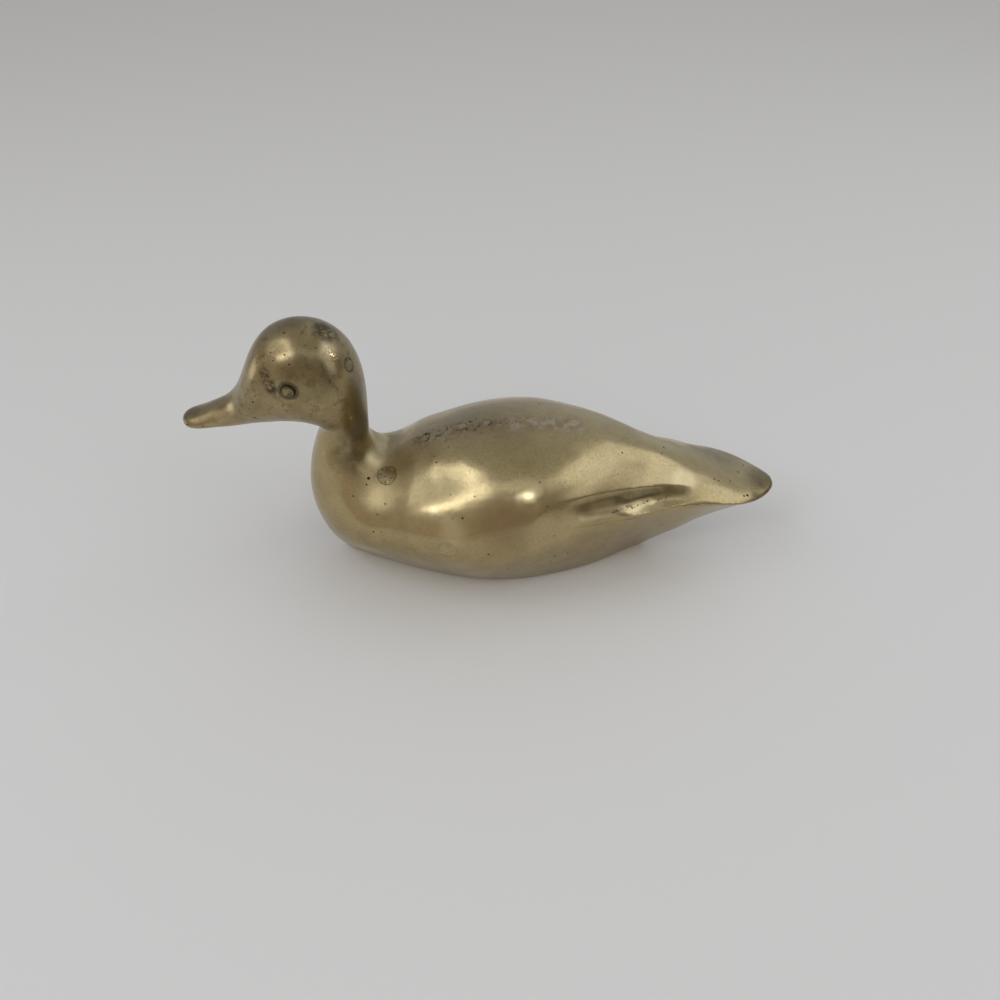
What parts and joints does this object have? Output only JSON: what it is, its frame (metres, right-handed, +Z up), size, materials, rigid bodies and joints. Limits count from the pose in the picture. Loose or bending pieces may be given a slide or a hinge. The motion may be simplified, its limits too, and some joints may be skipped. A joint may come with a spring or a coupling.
{
  "type": "brass duck figurine",
  "caption": "Hollow cast brass duck ornament with a smooth swept body, ringed eyes and a flat base that rests on a shelf or table.",
  "frame": {"origin": "on the floor, under the middle of the length and of the width", "axes": "+X along the duck from the bill towards the tail, +Y across to the duck's right side, +Z up"},
  "size_m": [0.23, 0.079, 0.109],
  "materials": {
    "cast_brass": "aged satin",
    "eye_brass": "aged satin",
    "plug_brass": "aged matt"
  },
  "bodies": {
    "root": {"body_casting": "cast_brass", "head_casting": "cast_brass", "eye_left": "eye_brass", "eye_right": "eye_brass", "shoulder_plug_left": "plug_brass", "shoulder_plug_right": "plug_brass", "flank_plug_left": "plug_brass", "flank_plug_right": "plug_brass", "nape_plug_left": "plug_brass", "nape_plug_right": "plug_brass", "base_plug": "plug_brass"}
  },
  "joints": []
}
